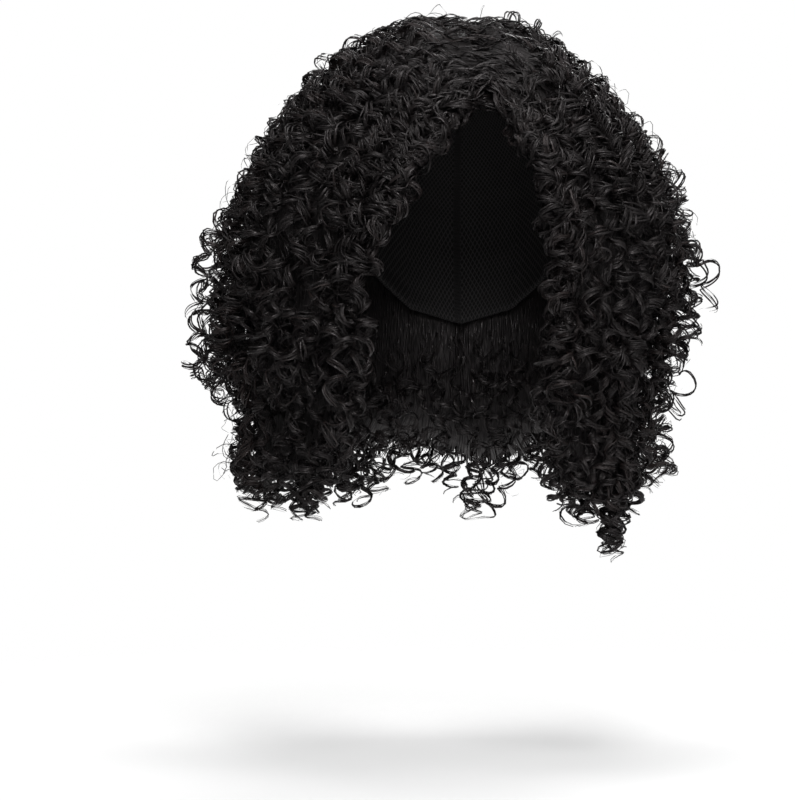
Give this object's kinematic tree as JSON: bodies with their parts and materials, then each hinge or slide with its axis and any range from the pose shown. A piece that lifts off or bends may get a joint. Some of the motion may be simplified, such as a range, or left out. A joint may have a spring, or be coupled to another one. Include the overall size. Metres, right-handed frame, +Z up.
{
  "type": "synthetic wig",
  "caption": "Shoulder-length curly wig: an open stretch-net cap with wefts of dark ringlet locks in a crown tier and a lower tier, parted off centre and clear of the face.",
  "frame": {"origin": "inside of the cap's crown, where the wig sits on the top of the head", "axes": "+Z up, -Y towards the face side, +X towards the wearer's left"},
  "size_m": [0.3211, 0.2664, 0.3496],
  "materials": {
    "hair": "soft satin sheen of curled fibre",
    "cap_net": "matte knitted net"
  },
  "bodies": {
    "root": {"cap": "cap_net", "fringe_left": "hair", "crown_weft_left": "hair", "crown_weft_back": "hair", "crown_weft_right": "hair", "fringe_right": "hair", "side_weft_left": "hair", "back_weft_left": "hair", "back_weft_right": "hair", "side_weft_right": "hair"}
  },
  "joints": []
}
